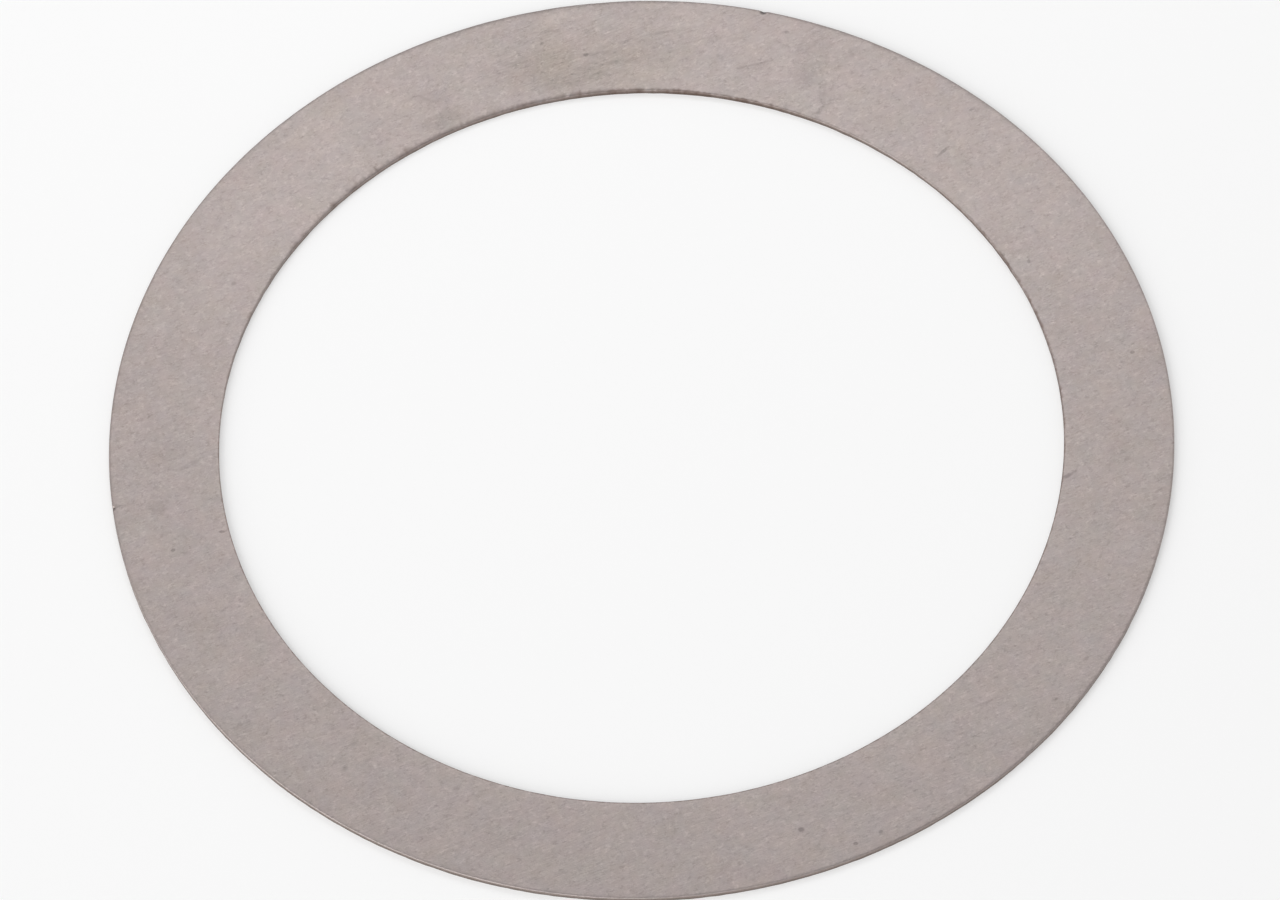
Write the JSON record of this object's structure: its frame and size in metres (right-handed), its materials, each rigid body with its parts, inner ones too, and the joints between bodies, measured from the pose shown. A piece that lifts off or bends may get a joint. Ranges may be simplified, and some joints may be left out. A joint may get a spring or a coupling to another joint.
{
  "type": "shim ring",
  "caption": "Thin flat steel shim ring with a large round bore, blanked from strip, that takes up axial play between a shaft shoulder and a bearing.",
  "frame": {"origin": "centre of the ring's axis at the lower face, the side with the tumbled burr edge", "axes": "+Z along the ring's axis, from the lower face to the upper face, whose corners are rolled over"},
  "size_m": [0.0798, 0.0798, 0.0005],
  "materials": {
    "steel_strip": "matte"
  },
  "bodies": {
    "root": {"shim_ring": "steel_strip"}
  },
  "joints": []
}
